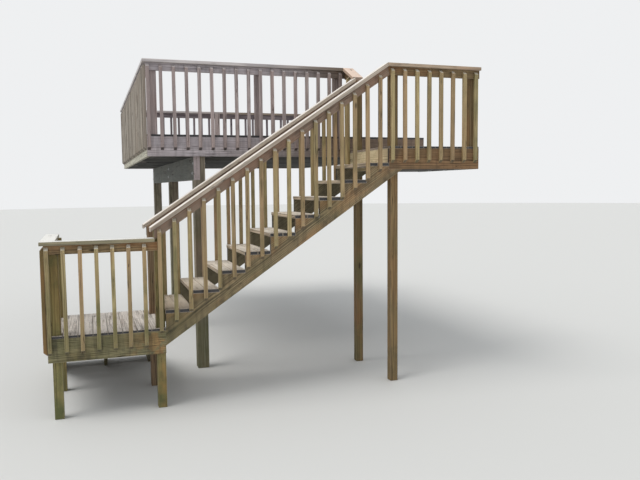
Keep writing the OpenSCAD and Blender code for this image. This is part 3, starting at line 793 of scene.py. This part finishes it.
def repeat_tree():
    """Geometry Nodes: the object's own mesh again at every step of a line."""
    tree, put = named_tree("repeat_along_a_line", {
        "Piece": "Geometry", "Count": "Int", "Step": "Vector", "Middle": "Vector", "Sway": "Float", "Seed": "Int",
        "Finish": "Material"}, "Row")
    steps = {"Count": put["Count"], "Start Location": put["Middle"], "Offset": put["Step"]}
    line = add_node(tree, "GeometryNodeMeshLine", steps, mode="OFFSET")
    # The piece is moved to the line's start, so that each copy turns about its own middle
    back = add_node(tree, "ShaderNodeVectorMath", {0: put["Middle"], "Scale": -1.0}, operation="SCALE")
    centred = add_node(tree, "GeometryNodeTransform", {"Geometry": put["Piece"], "Translation": back.outputs[0]})
    low, high = (add_node(tree, "ShaderNodeCombineXYZ", dict.fromkeys(range(3), turn)).outputs[0]
                 for turn in (times(tree, put["Sway"], -1.0), put["Sway"]))
    sway = add_node(tree, "FunctionNodeRandomValue", {0: low, 1: high, "Seed": put["Seed"]},
                    data_type="FLOAT_VECTOR")
    copies = add_node(tree, "GeometryNodeInstanceOnPoints", {
        "Points": line.outputs[0], "Instance": centred.outputs[0], "Rotation": sway.outputs[0]})
    made = copies.outputs[0]
    for name, kind, bounds in (
        ("shift", "FLOAT_VECTOR", {0: (0.0, -TREE_WIDE, -TREE_WIDE), 1: (TREE_LONG, TREE_WIDE, TREE_WIDE)}),
        ("tone", "FLOAT", {2: 0.0, 3: 1.0}),
    ):
        pick = add_node(tree, "FunctionNodeRandomValue", bounds | {"Seed": put["Seed"]}, data_type=kind)
        keep = add_node(tree, "GeometryNodeStoreNamedAttribute", {"Geometry": made, "Name": name}, data_type=kind,
                        domain="INSTANCE")
        value = next(socket for socket in keep.inputs if socket.name == "Value" and socket.enabled)
        tree.links.new(next(socket for socket in pick.outputs if socket.enabled), value)
        made = keep.outputs[0]
    hand_out(tree, made, put["Finish"], "Row")
    return tree


REPEAT = repeat_tree()
print("inputs:", [s.name for s in REPEAT.interface.items_tree if s.in_out == "INPUT"])

# %% Run a tree on a mesh and keep the result as a plain piece


def grow(name, bm, tree, values, material):
    """The tree's result on a mesh, as a plain mesh piece."""
    start = object_of(name + "_seed", bm)
    modifier = start.modifiers.new("grow", "NODES")
    modifier.node_group = tree
    sockets = {s.name: s.identifier for s in tree.interface.items_tree if s.in_out == "INPUT"}
    for key, value in values.items():
        modifier[sockets[key]] = value
    modifier[sockets["Finish"]] = material
    bpy.context.view_layer.update()
    graph = bpy.context.evaluated_depsgraph_get()
    done = bpy.data.meshes.new_from_object(start.evaluated_get(graph), preserve_all_data_layers=True, depsgraph=graph)
    start.modifiers.remove(modifier)
    bpy.data.objects.remove(start)
    done.name = name
    piece = linked(name, done)
    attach(piece, "root")
    return piece


# %% [markdown]
# The rows come straight from the model: the first baluster gives the stick, the number of balusters
# gives the count, and the way from the first to the last gives the step.

# %% Set the balusters
FIRST_ROW_SEED, STICK_SEED, SWAY = 200, 5, 0.0035
ROWS = {
    "lower_near_balusters": ("baluster", NEAR), "lower_left_balusters": ("edge_baluster", LEFT),
    "near_flight_balusters": ("baluster", NEAR), "far_flight_balusters": ("baluster", FAR),
    "upper_near_balusters": ("baluster", NEAR), "step_rail_balusters": ("baluster", LEFT),
    "deck_near_balusters": ("deck_upright", NEAR), "deck_left_balusters": ("deck_side", LEFT),
    "deck_far_balusters": ("deck_back_shaded", FAR),
}


def first_stick(node):
    """The first baluster of a node, bevelled, with its grain."""
    bm = joined_solids(node)
    keep = set(sorted(islands(bm), key=by_place)[0])
    bmesh.ops.delete(bm, geom=[v for v in bm.verts if v not in keep], context="VERTS")
    board_layers(bm)
    ease_edges(bm, STICK_EDGE)
    write_grain(bm, list(bm.verts), UP, random.Random(STICK_SEED))
    # Each copy gets its own shift and tone from the tree, and the stick's own would win over them
    bm.verts.layers.float_vector.remove(bm.verts.layers.float_vector["shift"])
    bm.verts.layers.float.remove(bm.verts.layers.float["tone"])
    return bm


def rule_of(count, step, middle, sway=0.0, seed=1):
    """The tree's inputs for a row."""
    return {"Count": count, "Step": step, "Middle": middle, "Sway": sway, "Seed": seed}


def even_step(boxes):
    """The way from one board of an even row to the next."""
    return (boxes[-1][0] - boxes[0][0]) / max(1, len(boxes) - 1)


def row_rule(node, seed):
    """The rule for a row of balusters, and the first stick's box."""
    boxes = boards_in(node)
    low, high = boxes[0]
    return rule_of(len(boxes), even_step(boxes), (low + high) / 2, SWAY, seed), boxes[0]


RULES = {node: row_rule(node, seed) for seed, node in enumerate(ROWS, FIRST_ROW_SEED)}
for node, (finish, facing) in ROWS.items():
    rule, box = RULES[node]
    row = grow("dressed_" + node, first_stick(node), REPEAT, rule, FINISH[finish])
    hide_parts(node)
    print(node, rule["Count"], "sticks")

# %% [markdown]
# ## Steel
# Nails, screws, bolts and hangers are galvanised: zinc freezes on the steel in flat grey crystals, and
# rust comes through where it wore off. Cells of a Voronoi texture are those crystals.

# %% Mix the steel


def galvanised(name, base, rust):
    """Zinc crystals in flat greys, with rust where a noise says that the zinc is gone."""
    material, tree, shader = new_material(name)
    place = add_node(tree, "ShaderNodeTexCoord").outputs["Object"]
    crystals = add_node(tree, "ShaderNodeTexVoronoi", {"Vector": place, "Scale": 160.0}).outputs["Color"]
    light, dull, _ = parts(tree, crystals, "Color")
    shade = plus(tree, times(tree, light, 0.35), 0.8)
    zinc = add_node(tree, "ShaderNodeHueSaturation", {"Color": srgb(*base), "Value": shade}).outputs[0]
    worn = times(tree, ramp(tree, noise(tree, place, 40.0, 4.0, 0.6), 0.45, 0.62), rust)
    fill(tree, shader, {"Base Color": mix_colour(tree, worn, zinc, RUST),
                        "Metallic": minus(tree, 0.75, times(tree, worn, 0.7), clamp=True),
                        "Roughness": plus(tree, times(tree, dull, 0.2), 0.42),
                        "Normal": bumped(tree, noise(tree, place, 900.0, 2.0), 0.25, 0.0006)})
    return material


STEEL = galvanised("galvanised_steel", (176, 178, 180), 0.25)
NAIL = galvanised("rusty_nail_steel", (128, 122, 114), 0.8)

# %% [markdown]
# ## Nails in the balusters
# Two nails hold each baluster at its foot and two at its top. They are made on the first stick only
# and repeated by the same tree with the same seed, so each set of nails leans with its own baluster.

# %% Nail the balusters
# Radius and height of a head, and how far a nail stands up or down from an end and aside, in metres
NAIL_SIZE, NAIL_SUNK = (0.0042, 0.0006), 0.0003
FOOT_NAILS, TOP_NAILS = ((0.062, -0.007), (0.098, 0.008)), ((-0.044, 0.008), (-0.064, -0.007))


def add_rings(bm, at, facing, radius, sides, profile):
    """Rings of points that stand on a surface, joined by faces; profile lists how wide and how high each is."""
    turn = facing.to_track_quat("Z", "Y").to_matrix()
    corners = [2 * math.pi * k / sides for k in range(sides)]
    rings = [[bm.verts.new(at + turn @ Vector((radius * wide * math.cos(a), radius * wide * math.sin(a), tall)))
              for a in corners] for wide, tall in profile]
    for lower, upper in zip(rings, rings[1:]):
        for k in range(sides):
            n = (k + 1) % sides
            bm.faces.new((lower[k], lower[n], upper[n], upper[k]))
    return rings[-1]


def add_head(bm, at, facing, radius, height, sides=8):
    """A low domed head on a surface: rings and a middle point."""
    last = add_rings(bm, at, facing, radius, sides, ((1.0, 0.0), (0.94, 0.55 * height), (0.6, 0.9 * height)))
    top = bm.verts.new(at + facing * height)
    for k in range(sides):
        bm.faces.new((last[k], last[(k + 1) % sides], top))


def nail_set(box, facing):
    """Four nail heads on a baluster's outer face, in two staggered pairs."""
    low, high = box
    middle = (low + high) / 2
    outward = sum(abs(facing[i]) * (high - low)[i] for i in range(3)) / 2
    side = facing.cross(UP)
    bm = bmesh.new()
    for end, nails in ((low.z, FOOT_NAILS), (high.z, TOP_NAILS)):
        for level, aside in nails:
            spot = Vector((middle.x, middle.y, end + level)) + facing * (outward - NAIL_SUNK) + side * aside
            add_head(bm, spot, facing, *NAIL_SIZE)
    return bm


for node, (rule, box) in RULES.items():
    facing = ROWS[node][1]
    grow("nails_" + node, nail_set(box, facing), REPEAT, rule, NAIL)
print("nail sets:", len(ROWS))

# %% [markdown]
# ## Screws in the treads and floors
# A screw goes through a floor board wherever it crosses a joist, two side by side. That is a rule over
# places, not along a line, so this tree takes bare points and puts a head on each one.

# %% Build the tree that puts a screw on every point


def screw_tree():
    """Geometry Nodes: a shallow cone with a flat top on each point of a mesh."""
    tree, put = named_tree("screw_on_each_point", {
        "Places": "Geometry", "Radius": "Float", "Height": "Float", "Finish": "Material"}, "Screws")
    cone = {"Vertices": 8, "Radius Bottom": put["Radius"], "Radius Top": times(tree, put["Radius"], 0.8),
            "Depth": put["Height"]}
    head = add_node(tree, "GeometryNodeMeshCone", cone).outputs["Mesh"]
    copies = add_node(tree, "GeometryNodeInstanceOnPoints", {"Points": put["Places"], "Instance": head})
    hand_out(tree, copies.outputs[0], put["Finish"], "Screws")
    return tree


SCREW = screw_tree()

# %% Screw down the floors and the treads


def screw_places(boards, carriers, crossing, inset=0.035):
    """Two points on each board at each carrier; crossing is the axis along which a board's carriers follow."""
    across = 1 - crossing
    bm = bmesh.new()
    for low, high in boards:
        for c_low, c_high in carriers:
            line = (c_low[crossing] + c_high[crossing]) / 2
            if not low[crossing] < line < high[crossing]:
                continue
            for edge in (low[across] + inset, high[across] - inset):
                spot = Vector((0, 0, high.z))
                spot[crossing], spot[across] = line, edge
                bm.verts.new(spot)
    return bm


def long_way(box, axis):
    """Whether a board runs along the axis."""
    size = box[1] - box[0]
    return size[axis] == max(size)


FLOOR_SCREW, TREAD_SCREW = ({"Radius": radius, "Height": 0.0012} for radius in (0.0042, 0.0045))
for floor in ("lower_landing", "upper_landing", "deck"):
    lines = [box for carriers in ("_joists", "_rims") for box in boards_in(floor + carriers) if long_way(box, X_WAY)]
    bm = screw_places(boards_in(floor + "_boards"), lines, Y_WAY)
    print(floor, "screws:", len(bm.verts))
    grow("screws_" + floor, bm, SCREW, FLOOR_SCREW, NAIL)
stringers = boards_in("near_stringer") + boards_in("far_stringer")
grow("screws_treads", screw_places(treads, stringers, Y_WAY), SCREW, TREAD_SCREW, NAIL)
ground_stringers = boards_in("ground_stringers")
grow("screws_ground_treads", screw_places(ground_treads, ground_stringers, X_WAY), SCREW, TREAD_SCREW, NAIL)

# %% [markdown]
# ## Joist hangers
# Where a joist ends against a board there is nothing under it, so a bent steel stirrup carries it: a
# seat, two sides and two flanges nailed to the board. It is one folded sheet, so it is made as one
# sheet of faces that share their fold lines, and then given its thickness.

# %% Fold a hanger and set the rows
# How thick the steel is, and a nail head's radius and height
SHEET, HANGER_NAIL = 0.0014, (0.0045, 0.0015)


def hanger(corner, facing, wide, tall=0.15, deep=0.05, flange=0.028, foot=0.012, lip=0.55, thick=SHEET):
    """A hanger whose seat's middle stands at corner, open towards facing; its sides slope down to a lip."""
    side, half = UP.cross(facing), (wide + thick) / 2
    bm = bmesh.new()
    spots = {}

    def spot(out, aside, rise):
        key = (out, aside, rise)
        if key not in spots:
            spots[key] = bm.verts.new(corner + facing * out + side * aside + UP * rise)
        return spots[key]

    for s in (-1, 1):
        outer = s * (half + flange)
        sheet = [(0, outer, foot), (0, s * half, 0), (0, s * half, tall), (0, outer, tall)]
        wall = [(0, s * half, 0), (deep, s * half, 0), (deep, s * half, tall * lip), (0, s * half, tall)]
        for loop in (sheet, wall):
            bm.faces.new([spot(*p) for p in (loop if s > 0 else reversed(loop))])
    bm.faces.new([spot(*p) for p in ((0, -half, 0), (0, half, 0), (deep, half, 0), (deep, -half, 0))])
    bmesh.ops.recalc_face_normals(bm, faces=bm.faces)
    bmesh.ops.solidify(bm, geom=bm.faces[:], thickness=thick)
    bmesh.ops.recalc_face_normals(bm, faces=bm.faces)
    for s in (-1, 1):
        for level in (0.25, 0.5, 0.75):
            nail = corner + side * s * (half + flange * 0.55) + UP * tall * level + facing * thick
            add_head(bm, nail, facing, *HANGER_NAIL)
    return bm


def hanger_row(name, boxes, facing):
    """One hanger under the same end of each joist in an even row."""
    low, high = boxes[0]
    end = low.x if facing.x > 0 else high.x
    corner = Vector((end, (low.y + high.y) / 2, low.z - SHEET / 2))
    rule = rule_of(len(boxes), even_step(boxes), corner)
    return grow("hangers_" + name, hanger(corner, facing, high.y - low.y), REPEAT, rule, STEEL)


deck_joists, low_joists, high_joists = (boards_in(place + "_joists")
                                        for place in ("deck", "lower_landing", "upper_landing"))
hanger_row("deck", deck_joists, LEFT)
for name, boxes in (("low", low_joists), ("upper_near", high_joists[:2]), ("upper_far", high_joists[2:])):
    hanger_row(name + "_left_end", boxes, RIGHT)
    hanger_row(name + "_right_end", boxes, LEFT)
print("hangers:", len(deck_joists) + 2 * len(low_joists) + 2 * len(high_joists))

# %% [markdown]
# ## Bolts
# The beam sits in its notched posts with two bolts through each, and lag bolts hold the ledger
# between the joists. A bolt head is a hexagon on a round washer.

# %% Bolt the beam and the ledger


def add_bolt(bm, at, facing, washer=0.021, head=0.011, thick=0.0025, tall=0.011):
    """A hexagonal head on a round washer."""
    for sides, radius, low, high, bevel in ((20, washer, 0.0, thick, 0.93), (6, head, thick, tall, 0.86)):
        profile = ((1.0, low), (1.0, high - (high - low) * 0.25), (bevel, high))
        bm.faces.new(add_rings(bm, at, facing, radius, sides, profile))


beam, posts = boards_in("deck_beam"), boards_in("deck_posts")
beam_low, beam_high = beam[0][0], beam[-1][1]
post_low, post_high = posts[0]
middle_y, middle_z = (post_low.y + post_high.y) / 2, (beam_low.z + beam_high.z) / 2
bm = bmesh.new()
for aside, level in ((-0.035, 0.06), (0.035, -0.06)):
    add_bolt(bm, Vector((beam_low.x, middle_y + aside, middle_z + level)), LEFT)
    add_bolt(bm, Vector((post_high.x, middle_y + aside, middle_z + level)), RIGHT)
grow("bolts_beam", bm, REPEAT, rule_of(len(posts), even_step(posts), post_low), STEEL)

ledger_low = boards_in("wall_ledgers")[-1][0]
bay = deck_joists[1][0].y - deck_joists[0][0].y
first = Vector((ledger_low.x, (deck_joists[0][0].y + deck_joists[0][1].y + bay) / 2, ledger_low.z))
bm = bmesh.new()
for aside, level in ((-0.06, 0.06), (0.06, 0.17)):
    add_bolt(bm, first + Vector((0, aside, level)), LEFT)
grow("bolts_ledger", bm, REPEAT, rule_of(len(deck_joists) - 1, Vector((0, bay, 0)), first), STEEL)
print("bolt heads:", 4 * len(posts) + 2 * (len(deck_joists) - 1))
